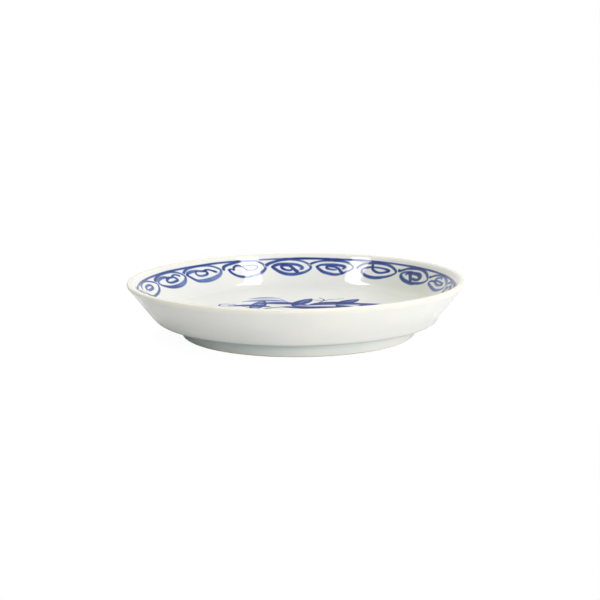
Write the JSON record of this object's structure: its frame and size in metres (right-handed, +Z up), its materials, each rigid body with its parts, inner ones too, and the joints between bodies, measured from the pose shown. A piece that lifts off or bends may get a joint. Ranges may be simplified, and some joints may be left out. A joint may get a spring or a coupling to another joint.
{
  "type": "soy sauce dish",
  "caption": "Shallow round porcelain sauce dish with a flared wall, a thin cream lip, a foot ring and blue brushed scrolls and leaves inside; holds dipping sauce at table.",
  "frame": {"origin": "middle of the foot ring, on the surface that the dish stands on", "axes": "+Z up along the axis of the dish, +Y away from the side that the picture was taken from, +X to its right"},
  "size_m": [0.1, 0.1, 0.0164],
  "materials": {
    "porcelain": "fired clay under glaze",
    "bare_clay": "matt bare clay",
    "inside_glaze": "clear gloss",
    "outside_glaze": "clear gloss",
    "lip_glaze": "thin cream gloss",
    "cobalt_line": "gloss",
    "cobalt_scrolls": "gloss",
    "cobalt_leaves": "gloss"
  },
  "bodies": {
    "root": {"dish_body": "porcelain", "foot_ring": "bare_clay", "inside_glaze": "inside_glaze", "outside_glaze": "outside_glaze", "lip_glaze": "lip_glaze", "base_glaze": "outside_glaze", "rim_line": "cobalt_line", "scroll_border": "cobalt_scrolls", "leaf_sprig": "cobalt_leaves"}
  },
  "joints": []
}
